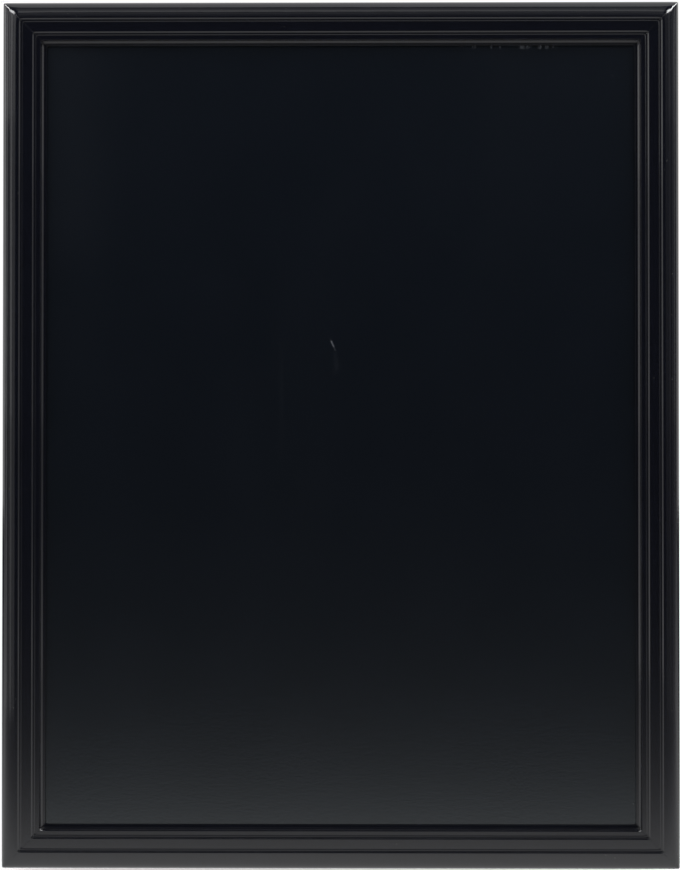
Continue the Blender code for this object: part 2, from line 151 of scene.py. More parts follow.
# Colours: pairs from dark to light, and what lies over or between them
LACQUER_TINTS = ((0.0019, 0.0023, 0.0046), (0.0028, 0.0033, 0.0062))
LACQUER_DUST = (0.10, 0.10, 0.09)
COAT_TINTS = ((0.0011, 0.0025, 0.0055), (0.0018, 0.0032, 0.0066))
COAT_GLOSS_TINT = (0.92, 0.98, 1.0)
# The chalk's colour, also laid on as a painted sheen over the panel's upper left
CHALK_AND_SHEEN_COLOUR = (0.36, 0.38, 0.42)
WOOD_TINTS = ((0.020, 0.015, 0.011), (0.046, 0.033, 0.024))
WOOD_PORES = (0.010, 0.008, 0.007)
HARDBOARD_TINTS = ((0.15, 0.080, 0.036), (0.22, 0.125, 0.060))
HARDBOARD_FIBRES = (0.085, 0.043, 0.019)
HARDBOARD_IMPRINT = (0.07, 0.035, 0.015)
ZINC_TINTS = ((0.52, 0.53, 0.54), (0.68, 0.67, 0.63))
ZINC_DULL = (0.34, 0.34, 0.33)
RUBBER_TINTS = ((0.012, 0.012, 0.012), (0.036, 0.035, 0.033))
FLOOR_COLOUR = (0.85, 0.85, 0.85)

# Gloss: indices of refraction of the two coats, and the dull floor
LACQUER_IOR = 1.6
COAT_IOR = 1.7
FLOOR_ROUGHNESS = 0.9

# Textures drawn out along an axis, as factors on the coordinates
LACQUER_STREAKS = (0.03, 1.0, 1.0)
WOOD_GRAIN = (0.035, 1.0, 1.0)
WIPED_HAZE = (1.0, 1.0, 0.25)
UPRIGHT_FLECKS = (1.0, 1.0, 0.1)
ZINC_SCRATCHES = (1.0, 0.3, 0.05)

# Relief of the lacquer's streaks beside its orange peel, the full part of a dust speck's radius, and the
# cells a metre of the zinc's spangle
STREAK_RELIEF = 0.3
SPECK_CORE = 0.5
SPANGLE_SCALE = 420.0

# Screen imprint on the back of the hardboard: a wave texture of scale 1 runs through 20 radians a metre
SCREEN_PITCH = 0.0019
WAVE_RADIANS = 20.0
SCREEN_SCALE = 2 * math.pi / (WAVE_RADIANS * SCREEN_PITCH)
SCREEN_DISTORTION = 0.6

# Chalk left on the panel and a painted sheen, as places (x, z) on its face: strokes and rows of upright
# flecks with half width and cover, then specks with radius and cover. The last stroke, wide and faint, is a
# painted sheen over the panel's upper left
CHALK_STROKES_AND_SHEEN = (
    ((-0.0105, -0.1511), (-0.0054, -0.1624), 0.0012, 0.050),
    ((-0.0094, -0.1533), (-0.0070, -0.1586), 0.0011, 0.200),
    ((-0.0056, -0.1653), (-0.0035, -0.1778), 0.0050, 0.006),
    ((-0.0035, -0.1778), (-0.0060, -0.1850), 0.0050, 0.006),
    ((-0.0613, -0.1518), (-0.0612, -0.2767), 0.0024, 0.005),
    # A wide, faint wash of chalk colour: painted sheen over the panel's upper left
    ((-0.2850, 0.1400), (-0.2850, -0.0200), 0.0700, 0.004),
)
CHALK_FLECKS = (
    ((0.1278, 0.1542), (0.1663, 0.1540), 0.0034, 0.110),
    ((0.1871, 0.1540), (0.2236, 0.1542), 0.0036, 0.120),
)
CHALK_SPECKS = (
    ((-0.0415, -0.1221), 0.0011, 0.060),
    ((-0.0248, -0.1877), 0.0030, 0.006),
    ((-0.0644, -0.2002), 0.0011, 0.030),
    ((0.2833, 0.1236), 0.0011, 0.080),
    ((0.3038, -0.6327), 0.0011, 0.120),
    ((0.1573, -0.0587), 0.0010, 0.050),
    ((0.1497, -0.3489), 0.0010, 0.050),
)

# Ragged edges of the chalk: how far a noise moves a place on the panel's plane, and the scale of that noise
CHALK_JITTER = (0.001, 0.0, 0.001)
CHALK_JITTER_SCALE = 900.0
NOISE_MIDDLE = (0.5, 0.5, 0.5)
PANEL_PLANE = (1.0, 0.0, 1.0)

# Camera, fitted to the board's outline in the photograph: lens in millimetres, turns in degrees
CAMERA_LENS = 85.0
CAMERA_PLACE = (0.0181, -2.1494, -0.2776)
CAMERA_PITCH = 0.722
CAMERA_YAW = 0.496

# Floor: how far it reaches, how far the board hangs above it, how the painted glow it shows in reflections
# fades away from the board to a faint glow, and the distances between which the shadow gives way to white
FLOOR_REACH = 14.0
FLOOR_DROP = 0.006
FLOOR_FADE = 0.36
FLOOR_FADE_POWER = 1.6
FLOOR_GLOW = 0.03
FLOOR_SHADOW = (0.02, 0.30)

# Light from all round: its level in front of the board and behind it, and the headings, as y of a unit
# vector, between which one turns into the other
WORLD_FRONT = 0.03
WORLD_BEHIND = 1.0
WORLD_EDGE = (-0.06, 0.02)

# Soft strips beside the board: side and angle from straight ahead in degrees, then radiance high, midway
# and low
SIDE_DISTANCE = 1.35
SIDE_STRIP = (0.28, 0.50)
SIDE_HEIGHTS = (0.55, 0.05, -0.45)
SIDE_STRIPS = {
    (-1, 30): (0.70, 0.36, 0.30),
    (-1, 44): (1.20, 1.00, 0.60),
    (-1, 58): (0.90, 0.25, 0.25),
    (-1, 74): (1.40, 0.90, 0.70),
    (-1, 92): (1.50, 1.00, 0.10),
    (1, 26): (0.14, 0.10, 0.08),
    (1, 40): (0.28, 0.16, 0.12),
    (1, 57): (0.24, 0.17, 0.13),
    (1, 72): (0.75, 0.48, 0.30),
}

# Soft strips above the board: angle from straight ahead in degrees, distance, width and radiance
TOP_LENGTH = 1.3
TOP_STRIPS = (
    (22, 1.35, 0.20, 0.10),
    (31, 1.35, 0.20, 0.24),
    (42, 1.35, 0.20, 0.80),
    (50, 1.35, 0.20, 0.35),
    (58, 1.35, 0.20, 0.25),
    (76, 0.60, 0.22, 0.95),
)

# Bright boxes off the two upper corners: angle from straight ahead in degrees, then radiance left and right
CORNER_DISTANCE = 1.5
CORNER_BOX = (0.52, 0.36)
DIAGONAL = math.sqrt(0.5)
CORNER_BOXES = {48: (11.0, 16.0), 66: (15.0, 22.0), 85: (25.0, 32.0)}

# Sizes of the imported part
rail_low, rail_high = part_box("top_rail")
BACK_Y = rail_high[1]
MOULDING_DEPTH = BACK_Y - rail_low[1]
SIDE_HEIGHT = MOULDING_DEPTH - OVOLO_HEIGHT
LEFT_X, RIGHT_X = cad_low[0], cad_high[0]
BOTTOM_Z, TOP_Z = cad_low[2], cad_high[2]
CENTRE_Z = (TOP_Z + BOTTOM_Z) / 2
BOARD_WIDTH = RIGHT_X - LEFT_X
BOARD_HEIGHT = TOP_Z - BOTTOM_Z


def arc(centre, radii, start, stop, steps):
    """Points of an elliptical arc in a plane, both ends included, with its angles in degrees."""
    points = []
    for i in range(steps + 1):
        angle = math.radians(start + (stop - start) * i / steps)
        points.append((centre[0] + radii[0] * math.cos(angle), centre[1] + radii[1] * math.sin(angle)))
    return points


def moulding_section():
    """Front and back of the moulding's section, as points (u, h).

    u runs inwards from the outer edge and h forwards from the back. The front ends at the sight edge.
    """
    front = arc((OVOLO_WIDTH, SIDE_HEIGHT), (OVOLO_WIDTH, OVOLO_HEIGHT), 180, 90, OVOLO_STEPS)
    u, h = front[-1]
    heading = 0.0
    for target, bend, run in STEPS:
        side = math.copysign(1.0, target - heading)
        turn = math.radians(heading)
        centre = (u - side * bend * math.sin(turn), h - side * bend * math.cos(turn))
        start = 90 * side - heading
        front += arc(centre, (bend, bend), start, start + heading - target, ROUND_STEPS)[1:]
        u, h = front[-1]
        turn = math.radians(target)
        reaches = (RUN_SUPPORT, run - RUN_SUPPORT, run) if run else ()
        for reach in reaches:
            front.append((u + reach * math.cos(turn), h - reach * math.sin(turn)))
        u, h = front[-1]
        heading = target
    wall = u - RABBET_WIDTH
    back = [(u, RABBET_DEPTH), (wall, RABBET_DEPTH), (wall, 0.0), (BACK_EDGE_ROUND + RUN_SUPPORT, 0.0)]
    edge = (BACK_EDGE_ROUND, BACK_EDGE_ROUND)
    back += arc(edge, edge, 270, 180, ROUND_STEPS)
    return front, back


def mitre_round(u):
    """Size of the rounding of a mitre at u from the outer edge: sanded most halfway up the ovolo."""
    swell = math.sin(math.pi * min(1.0, u / OVOLO_WIDTH))
    return MITRE_ROUND + (OVOLO_MITRE_ROUND - MITRE_ROUND) * swell


def rail_rings(length):
    """Rings of (x, y, z) along a rail whose outer edge lies on z = 0.

    Lacquer rounds the mitre: a point at u from the outer edge, dx and dz from the two outer edges, follows
    (dx - u)(dz - u) = (round / 2) squared.
    """
    front, back = moulding_section()
    half = []
    for station in CORNER_STATIONS:
        ring = []
        for u, h in front + back:
            round_half = mitre_round(u) / 2
            x = -length / 2 + u + round_half * station + MITRE_SEAM
            ring.append((x, BACK_Y - h, -u - round_half / station))
        half.append(ring)
    start = half[-1]
    rings = list(half)
    for i in range(1, SPAN_STATIONS):
        share = 1 - 2 * i / SPAN_STATIONS
        rings.append([(x * share, y, z) for x, y, z in start])
    rings += [[(-x, y, z) for x, y, z in ring] for ring in reversed(half)]
    return rings, len(front)


def new_piece(name, mesh, body, materials, replaces, matrix=Matrix.Identity(4)):
    """A visible piece that rides on a body and stands for CAD nodes."""
    piece = bpy.data.objects.new(name, mesh)
    bpy.context.scene.collection.objects.link(piece)
    piece.matrix_world = matrix
    for material in materials:
        mesh.materials.append(material)
    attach(piece, body)
    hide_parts(*replaces)
    return piece


def finished_mesh(name, shape):
    """The mesh of a bmesh, shaded smooth apart from its sharp edges."""
    bmesh.ops.recalc_face_normals(shape, faces=shape.faces)
    mesh = bpy.data.meshes.new(name)
    shape.to_mesh(mesh)
    shape.free()
    shade(mesh)
    return mesh


def shade(mesh):
    """Shades a mesh smooth apart from its sharp edges."""
    mesh.shade_smooth()
    mesh.set_sharp_from_angle(angle=math.radians(SMOOTH_ANGLE))


def evaluated_mesh(piece):
    """A piece's mesh with its modifiers applied."""
    bpy.context.view_layer.update()
    graph = bpy.context.evaluated_depsgraph_get()
    return bpy.data.meshes.new_from_object(piece.evaluated_get(graph))


def flatten_faces(piece):
    """Keeps large faces flat where eased edges are shaded smooth into them."""
    weighted = piece.modifiers.new("weighted_normals", "WEIGHTED_NORMAL")
    weighted.keep_sharp = True
    mesh = evaluated_mesh(piece)
    piece.modifiers.clear()
    piece.data = mesh


def cut(piece, cutters):
    """Cuts the cutters out of a piece for good."""
    for cutter in cutters:
        tool = piece.modifiers.new(cutter.name, "BOOLEAN")
        tool.operation = "DIFFERENCE"
        tool.object = cutter
    mesh = evaluated_mesh(piece)
    piece.modifiers.clear()
    piece.data = mesh
    shape = bmesh.new()
    shape.from_mesh(mesh)
    bmesh.ops.dissolve_degenerate(shape, dist=WELD_DISTANCE, edges=shape.edges)
    shape.to_mesh(mesh)
    shape.free()
    shade(mesh)


def new_cutter(name, shape, matrix=Matrix.Identity(4), material_index=0):
    """An object to cut with, whose faces give the cut walls a material."""
    mesh = finished_mesh(name, shape)
    for face in mesh.polygons:
        face.material_index = material_index
    cutter = bpy.data.objects.new(name, mesh)
    bpy.context.scene.collection.objects.link(cutter)
    cutter.matrix_world = matrix
    return cutter


def node_box(node):
    """Corners of a CAD node's box as vectors."""
    low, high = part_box(node)
    return Vector(low), Vector(high)


def nail_slot(node):
    """A cutter a little larger than a corner nail, open at the back of the frame."""
    shape = bmesh.new()
    shape.from_mesh(frame["nodes"][node].data)
    bmesh.ops.remove_doubles(shape, verts=shape.verts, dist=WELD_DISTANCE)
    bmesh.ops.recalc_face_normals(shape, faces=shape.faces)
    shape.normal_update()
    low, high = node_box(node)
    grown = [vert.co + vert.normal * vert.calc_shell_factor() * NAIL_CLEARANCE for vert in shape.verts]
    for vert, place in zip(shape.verts, grown):
        vert.co = place
        if place.y > (low.y + high.y) / 2:
            vert.co.y = BACK_Y + SLOT_OVERRUN
    return new_cutter(node + "_slot", shape, material_index=1)


def add_rail(node, length, place, angle):
    """One mitred rail with its lacquered front and bare back, its own X along its length."""
    rings, front_count = rail_rings(length)
    shape = bmesh.new()
    loops = [[shape.verts.new(point) for point in ring] for ring in rings]
    count = len(loops[0])
    for first, second in zip(loops, loops[1:]):
        for i in range(count):
            j = (i + 1) % count
            face = shape.faces.new((first[i], first[j], second[j], second[i]))
            face.material_index = int(front_count <= i < front_count + BARE_FACES)
    for loop in (loops[0], loops[-1]):
        shape.faces.new(loop)
    mesh = finished_mesh(node + "_lacquered", shape)
    matrix = Matrix.Translation(place) @ Matrix.Rotation(math.radians(angle), 4, "Y")
    finish = (LACQUER, BACK_WOOD)
    return new_piece(node + "_lacquered", mesh, "board", finish, [node], matrix)


def add_frame():
    """The four rails, slotted at the back for the corner nails."""
    rails = {
        "top": add_rail("top_rail", BOARD_WIDTH, (0, 0, TOP_Z), 0),
        "bottom": add_rail("bottom_rail", BOARD_WIDTH, (0, 0, BOTTOM_Z), 180),
        "left": add_rail("left_stile", BOARD_HEIGHT, (LEFT_X, 0, CENTRE_Z), -90),
        "right": add_rail("right_stile", BOARD_HEIGHT, (RIGHT_X, 0, CENTRE_Z), 90),
    }
    nails = [node for node in frame["nodes"] if node.startswith("v_nail")]
    slots = {node: nail_slot(node) for node in nails}
    for side, rail in rails.items():
        cut(rail, [slot for node, slot in slots.items() if f"_{side}_" in node])
    for slot in slots.values():
        bpy.data.objects.remove(slot)


def ease_edges(shape, edges, offset, steps):
    """Rounds edges of a bmesh."""
    bmesh.ops.bevel(shape, geom=edges, offset=offset, segments=steps, profile=ROUND_PROFILE, affect="EDGES")


def add_panel():
    """The hardboard panel, its front face coated and its edges eased."""
    low, high = node_box("writing_panel")
    shape = bmesh.new()
    bmesh.ops.create_cube(shape, size=1.0)
    bmesh.ops.scale(shape, vec=high - low, verts=shape.verts)
    bmesh.ops.translate(shape, vec=(low + high) / 2, verts=shape.verts)
    ease_edges(shape, shape.edges, PANEL_EASED_EDGE, EASED_STEPS)
    shape.normal_update()
    for face in shape.faces:
        face.material_index = int(face.normal.y > FRONT_NORMAL_Y)
    mesh = finished_mesh("chalk_panel", shape)
    piece = new_piece("chalk_panel", mesh, "board", (COAT, HARDBOARD), ["writing_panel"])
    flatten_faces(piece)


def ring_path():
    """Mid-line of a ring's wire as (x, z): a bar along X, rounded corners and a half-round arch."""
    half_width = (RING_INNER_WIDTH + RING_WIRE) / 2
    height = RING_INNER_HEIGHT + RING_WIRE
    corner_x = half_width - RING_CORNER
    radii = (RING_CORNER, RING_CORNER)
    path = arc((corner_x, RING_CORNER), radii, -90, 0, QUARTER_STEPS)
    path += arc((0.0, height - half_width), (half_width, half_width), 0, 180, TURN_STEPS)
    path += arc((-corner_x, RING_CORNER), radii, 180, 270, QUARTER_STEPS)
    return path


def add_ring(joint):
    """A smooth wire ring, standing up from its pivot and leaning on the back of the stile."""
    node = joint["child"].replace("_ring", "_hanging_ring")
    pivot = Vector(joint["pos_m"])
    wire = bpy.data.curves.new(node, "CURVE")
    wire.dimensions = "3D"
    wire.bevel_depth = RING_WIRE / 2
    wire.bevel_resolution = ROUND_STEPS
    path = ring_path()
    spline = wire.splines.new("POLY")
    spline.points.add(len(path) - 1)
    for point, (x, z) in zip(spline.points, path):
        point.co = (x, 0.0, z, 1.0)
    spline.use_cyclic_u = True
    guide = bpy.data.objects.new(node + "_guide", wire)
    bpy.context.scene.collection.objects.link(guide)
    mesh = evaluated_mesh(guide)
    bpy.data.objects.remove(guide)
    shade(mesh)
    lean = math.asin((pivot.y - BACK_Y - RING_WIRE / 2 - RING_SEAT_GAP) / (RING_INNER_HEIGHT + RING_WIRE))
    matrix = Matrix.Translation(pivot) @ Matrix.Rotation(lean, 4, "X")
    new_piece(node + "_wire", mesh, joint["child"], (ZINC,), [node], matrix)


def turned(section):
    """A solid turned about Z from its half section, (radius, height) from its top to its bottom."""
    shape = bmesh.new()
    rings = []
    for radius, height in section:
        steps = TURN_STEPS if radius > 0 else 1
        ring = []
        for i in range(steps):
            angle = 2 * math.pi * i / steps
            ring.append(shape.verts.new((radius * math.cos(angle), radius * math.sin(angle), height)))
        rings.append(ring)
    for upper, lower in zip(rings, rings[1:]):
        for i in range(TURN_STEPS):
            j = (i + 1) % TURN_STEPS
            places = ((upper, i), (upper, j), (lower, j), (lower, i))
            corners = [ring[k % len(ring)] for ring, k in places]
            shape.faces.new(list(dict.fromkeys(corners)))
    return shape


def screw_section():
    """Half section of a pan-head screw with its thread as close ridges; the head seats at height 0."""
    shank = SCREW_SHANK / 2
    section = arc((0.0, 0.0), (SCREW_HEAD / 2, SCREW_HEAD_HEIGHT), 90, 0, QUARTER_STEPS)
    section[0] = (0.0, SCREW_HEAD_HEIGHT)
    section.append((shank, 0.0))
    end = SCREW_POINT_LENGTH - SCREW_LENGTH
    ridges = int((-end - PLAIN_PITCHES * THREAD_PITCH) / THREAD_PITCH)
    for i in range(ridges):
        top = -(PLAIN_PITCHES + i) * THREAD_PITCH
        section.append((shank - THREAD_DEPTH, top))
        section.append((shank, top - THREAD_PITCH / 2))
    return section + [(shank - THREAD_DEPTH, end), (0.0, -SCREW_LENGTH)]


def cross_shape():
    """The driver's cross, tapered downwards, as deep above the head's top as below it."""
    reach, half_width = RECESS_LENGTH / 2, RECESS_WIDTH / 2
    wing = (Vector((reach, -half_width)), Vector((reach, half_width)), Vector((half_width, half_width)))
    outline = [Matrix.Rotation(math.pi / 2 * i, 2) @ point for i in range(4) for point in wing]
    shape = bmesh.new()
    upper = [shape.verts.new((*point, RECESS_DEPTH)) for point in outline]
    lower = [shape.verts.new((*(point * RECESS_TAPER), -RECESS_DEPTH)) for point in outline]
    shape.faces.new(upper)
    shape.faces.new(lower)
    for i in range(len(outline)):
        j = (i + 1) % len(outline)
        shape.faces.new((upper[i], upper[j], lower[j], lower[i]))
    return shape


def add_screw(node, turn):
    """A pan-head screw with a cross recess, turned home at its own angle."""
    low, high = node_box(node)
    seat = Vector(((low.x + high.x) / 2, high.y - SCREW_HEAD_HEIGHT, (low.z + high.z) / 2))
    spin = Matrix.Rotation(math.radians(turn), 4, "Z")
    matrix = Matrix.Translation(seat) @ Matrix.Rotation(-math.pi / 2, 4, "X") @ spin
    mesh = finished_mesh(node + "_turned", turned(screw_section()))
    screw = new_piece(node + "_turned", mesh, "board", (ZINC,), [node], matrix)
    recess = new_cutter("recess", cross_shape(), matrix @ Matrix.Translation((0, 0, SCREW_HEAD_HEIGHT)))
    cut(screw, [recess])
    bpy.data.objects.remove(recess)


def add_bumper(node):
    """A rubber button with a rounded rim and a shallow moulded dimple."""
    low, high = node_box(node)
    radius = (high.x - low.x) / 2
    height = high.y - low.y - BOX_MARGIN
    rim_centre = (radius - BUMPER_ROUND, height - BUMPER_ROUND)
    section = [(0.0, height - DIMPLE_DEPTH)]
    for i in range(1, QUARTER_STEPS + 1):
        share = i / QUARTER_STEPS
        section.append((DIMPLE_RADIUS * share, height - DIMPLE_DEPTH * (1 + math.cos(math.pi * share)) / 2))
    section += arc(rim_centre, (BUMPER_ROUND, BUMPER_ROUND), 90, 0, QUARTER_STEPS)
    section += [(radius, 0.0), (0.0, 0.0)]
    place = Matrix.Translation(((low.x + high.x) / 2, low.y, (low.z + high.z) / 2))
    matrix = place @ Matrix.Rotation(-math.pi / 2, 4, "X")
    mesh = finished_mesh(node + "_moulded", turned(section))
    new_piece(node + "_moulded", mesh, "board", (RUBBER,), [node], matrix)


def add_stamped(node):
    """A piece stamped from sheet: the CAD shape, smooth where it bends and eased along its edges."""
    shape = bmesh.new()
    shape.from_mesh(frame["nodes"][node].data)
    bmesh.ops.remove_doubles(shape, verts=shape.verts, dist=WELD_DISTANCE)
    bmesh.ops.recalc_face_normals(shape, faces=shape.faces)
    flat = math.radians(FLAT_ANGLE)
    bmesh.ops.dissolve_limit(shape, angle_limit=flat, verts=shape.verts, edges=shape.edges)
    sharp = math.radians(STAMPED_EDGE_ANGLE)
    edges = [edge for edge in shape.edges if edge.calc_face_angle(0.0) > sharp]
    ease_edges(shape, edges, STAMPED_EDGE, STAMPED_STEPS)
    mesh = finished_mesh(node + "_stamped", shape)
    flatten_faces(new_piece(node + "_stamped", mesh, "board", (ZINC,), [node]))


def new_material(name):
    """A material to build on: returns (material, tree, shader)."""
    made = bpy.data.materials.new(name)
    made.use_nodes = True
    tree = made.node_tree
    return made, tree, tree.nodes["Principled BSDF"]


def feed(tree, socket, value):
    """Puts a number, a colour, a vector or another socket into a node's input."""
    if isinstance(value, bpy.types.NodeSocket):
        tree.links.new(value, socket)
    elif value is not None:
        socket.default_value = value


def noise(tree, coords, scale, detail=4.0):
    """A noise with this many cells a metre."""
    node = tree.nodes.new("ShaderNodeTexNoise")
    node.inputs["Scale"].default_value = scale
    node.inputs["Detail"].default_value = detail
    tree.links.new(coords, node.inputs["Vector"])
    return node.outputs["Fac"]


def ranged(tree, value, low, high, from_low=0.0, from_high=1.0):
    """A value carried from one range to another, and held at its ends."""
    node = tree.nodes.new("ShaderNodeMapRange")
    node.inputs["From Min"].default_value = from_low
    node.inputs["From Max"].default_value = from_high
    node.inputs["To Min"].default_value = low
    node.inputs["To Max"].default_value = high
    tree.links.new(value, node.inputs["Value"])
    return node.outputs["Result"]


def mixed(tree, factor, first, second):
    """A colour between two colours, each a tuple or a socket."""
    node = tree.nodes.new("ShaderNodeMix")
    node.data_type = "RGBA"
    for name, value in (("A", first), ("B", second)):
        feed(tree, node.inputs[name], (*value, 1.0) if isinstance(value, tuple) else value)
    tree.links.new(factor, node.inputs["Factor"])
    return node.outputs["Result"]


def math_node(tree, operation, first, second=None):
    """A Math node whose inputs are sockets or numbers."""
    node = tree.nodes.new("ShaderNodeMath")
    node.operation = operation
    feed(tree, node.inputs[0], first)
    feed(tree, node.inputs[1], second)
    return node.outputs["Value"]


def vector_node(tree, operation, first, second):
    """A Vector Math node whose inputs are sockets or vectors."""
    node = tree.nodes.new("ShaderNodeVectorMath")
    node.operation = operation
    feed(tree, node.inputs[0], first)
    feed(tree, node.inputs[1], second)
    return node.outputs["Value" if operation in ("DOT_PRODUCT", "DISTANCE") else "Vector"]


def bumped(tree, shader, height, depth):
    """Gives a shader relief: a height of 1 stands for this depth in metres."""
    node = tree.nodes.new("ShaderNodeBump")
    node.inputs["Distance"].default_value = depth
    tree.links.new(height, node.inputs["Height"])
    tree.links.new(node.outputs["Normal"], shader.inputs["Normal"])


def object_coords(tree):
    """Coordinates in a piece's own axes, in metres."""
    return tree.nodes.new("ShaderNodeTexCoord").outputs["Object"]


def specks(tree, coords, scale, radius, share):
    """Scattered round specks of this radius, in a share of the cells of a pattern."""
    node = tree.nodes.new("ShaderNodeTexVoronoi")
    node.inputs["Scale"].default_value = scale
    tree.links.new(coords, node.inputs["Vector"])
    split = tree.nodes.new("ShaderNodeSeparateColor")
    tree.links.new(node.outputs["Color"], split.inputs["Color"])
    kept = math_node(tree, "LESS_THAN", split.outputs["Red"], share)
    reach = radius * scale
    round_speck = ranged(tree, node.outputs["Distance"], 1.0, 0.0, SPECK_CORE * reach, reach)
    return math_node(tree, "MULTIPLY", round_speck, kept)


def lacquer_material():
    """Black lacquer: streaked along the rail, a little orange peel, a few dust specks."""
    made, tree, shader = new_material("black_lacquer_scene")
    shader.inputs["IOR"].default_value = LACQUER_IOR
    coords = object_coords(tree)
    streaks = noise(tree, vector_node(tree, "MULTIPLY", coords, LACQUER_STREAKS), scale=900.0)
    tint = mixed(tree, noise(tree, coords, scale=60.0), *LACQUER_TINTS)
    dust = specks(tree, coords, scale=120.0, radius=0.0005, share=0.25)
    tree.links.new(mixed(tree, dust, tint, LACQUER_DUST), shader.inputs["Base Color"])
    gloss = ranged(tree, streaks, low=0.07, high=0.13, from_low=0.3, from_high=0.7)
    tree.links.new(gloss, shader.inputs["Roughness"])
    peel = noise(tree, coords, scale=330.0, detail=1.0)
    coat = math_node(tree, "ADD", peel, math_node(tree, "MULTIPLY", streaks, STREAK_RELIEF))
    bumped(tree, shader, math_node(tree, "ADD", coat, dust), depth=0.00002)
    return made


def back_wood_material():
    """Stained wood at the back, its grain along the rail."""
    made, tree, shader = new_material("back_wood")
    along = vector_node(tree, "MULTIPLY", object_coords(tree), WOOD_GRAIN)
    grain = noise(tree, along, scale=650.0, detail=6.0)
    light = mixed(tree, noise(tree, along, scale=140.0, detail=3.0), *WOOD_TINTS)
    solid = ranged(tree, grain, low=0.0, high=1.0, from_low=0.35, from_high=0.65)
    tree.links.new(mixed(tree, solid, WOOD_PORES, light), shader.inputs["Base Color"])
    dullness = ranged(tree, grain, low=0.50, high=0.75, from_low=0.3, from_high=0.7)
    tree.links.new(dullness, shader.inputs["Roughness"])
    bumped(tree, shader, grain, depth=0.00015)
    return made


def stroke_cover(tree, place, start, end, half_width):
    """Cover of a chalk stroke at a place: 1 on its line, 0 at half its width from it."""
    run = Vector((end[0] - start[0], 0.0, end[1] - start[1]))
    offset = vector_node(tree, "SUBTRACT", place, (start[0], 0.0, start[1]))
    share = vector_node(tree, "DOT_PRODUCT", offset, tuple(run / run.length_squared))
    nearest = vector_node(tree, "MULTIPLY", ranged(tree, share, 0.0, 1.0), tuple(run))
    return ranged(tree, vector_node(tree, "DISTANCE", offset, nearest), 1.0, 0.0, 0.0, half_width)


def chalk_and_sheen_cover(tree, coords):
    """Cover of the chalk left on the panel and of a painted sheen: named strokes, flecks, specks, a thin
    wiped haze.
    """
    jitter = tree.nodes.new("ShaderNodeTexNoise")
    jitter.inputs["Scale"].default_value = CHALK_JITTER_SCALE
    tree.links.new(coords, jitter.inputs["Vector"])
    shifted = vector_node(tree, "SUBTRACT", jitter.outputs["Color"], NOISE_MIDDLE)
    moved = vector_node(tree, "ADD", coords, vector_node(tree, "MULTIPLY", shifted, CHALK_JITTER))
    place = vector_node(tree, "MULTIPLY", moved, PANEL_PLANE)
    fine = noise(tree, coords, scale=700.0, detail=2.0)
    crumbs = ranged(tree, fine, low=0.3, high=1.4, from_low=0.3, from_high=0.7)
    upright = noise(tree, vector_node(tree, "MULTIPLY", coords, UPRIGHT_FLECKS), scale=280.0, detail=1.0)
    flecks = ranged(tree, upright, low=0.0, high=1.0, from_low=0.46, from_high=0.68)
    swept = noise(tree, vector_node(tree, "MULTIPLY", coords, WIPED_HAZE), scale=9.0, detail=5.0)
    cover = ranged(tree, swept, low=0.0, high=0.0015, from_low=0.5, from_high=0.75)
    for strokes, grain in ((CHALK_STROKES_AND_SHEEN, crumbs), (CHALK_FLECKS, flecks)):
        for start, end, half_width, strength in strokes:
            mark = math_node(tree, "MULTIPLY", stroke_cover(tree, place, start, end, half_width), strength)
            cover = math_node(tree, "ADD", cover, math_node(tree, "MULTIPLY", mark, grain))
    for (x, z), radius, strength in CHALK_SPECKS:
        distance = vector_node(tree, "DISTANCE", place, (x, 0.0, z))
        cover = math_node(tree, "ADD", cover, ranged(tree, distance, strength, 0.0, 0.0, radius))
    return cover


def coat_material():
    """Chalkboard paint: a fine rolled grain, faint blotches, leftover chalk and a painted sheen on its upper
    left.
    """
    made, tree, shader = new_material("chalk_coat_scene")
    shader.inputs["IOR"].default_value = COAT_IOR
    shader.inputs["Specular Tint"].default_value = (*COAT_GLOSS_TINT, 1.0)
    coords = object_coords(tree)
    clouds = noise(tree, coords, scale=14.0)
    blotch = math_node(tree, "MULTIPLY", clouds, noise(tree, coords, scale=330.0, detail=2.0))
    pale = ranged(tree, blotch, low=0.0, high=1.0, from_low=0.12, from_high=0.38)
    tint = mixed(tree, pale, *COAT_TINTS)
    # The chalk's cover, with the painted sheen on the panel's upper left in it
    cover = chalk_and_sheen_cover(tree, coords)
    tree.links.new(mixed(tree, cover, tint, CHALK_AND_SHEEN_COLOUR), shader.inputs["Base Color"])
    worn = ranged(tree, noise(tree, coords, scale=300.0), low=0.19, high=0.24)
    tree.links.new(math_node(tree, "ADD", worn, cover), shader.inputs["Roughness"])
    grain = math_node(tree, "ADD", noise(tree, coords, scale=420.0, detail=2.0), cover)
    bumped(tree, shader, grain, depth=0.00008)
    return made


def screen_imprint(tree, coords):
    """Imprint of a wire screen: two crossed waves."""
    weave = []
    for direction in ("X", "Z"):
        wave = tree.nodes.new("ShaderNodeTexWave")
        wave.bands_direction = direction
        wave.inputs["Scale"].default_value = SCREEN_SCALE
        wave.inputs["Distortion"].default_value = SCREEN_DISTORTION
        tree.links.new(coords, wave.inputs["Vector"])
        weave.append(wave.outputs["Fac"])
    return math_node(tree, "MULTIPLY", *weave)


def hardboard_material():
    """Bare hardboard: brown fibres and the imprint of a wire screen."""
    made, tree, shader = new_material("raw_hardboard")
    coords = object_coords(tree)
    fibres = noise(tree, coords, scale=260.0, detail=8.0)
    light = mixed(tree, noise(tree, coords, scale=22.0, detail=3.0), *HARDBOARD_TINTS)
    pale = ranged(tree, fibres, low=0.0, high=1.0, from_low=0.35, from_high=0.62)
    tint = mixed(tree, pale, HARDBOARD_FIBRES, light)
    imprint = screen_imprint(tree, coords)
    pressed = ranged(tree, imprint, low=0.45, high=0.0)
    tree.links.new(mixed(tree, pressed, tint, HARDBOARD_IMPRINT), shader.inputs["Base Color"])
    tree.links.new(ranged(tree, fibres, low=0.70, high=0.92), shader.inputs["Roughness"])
    bumped(tree, shader, math_node(tree, "ADD", imprint, fibres), depth=0.00025)
    return made


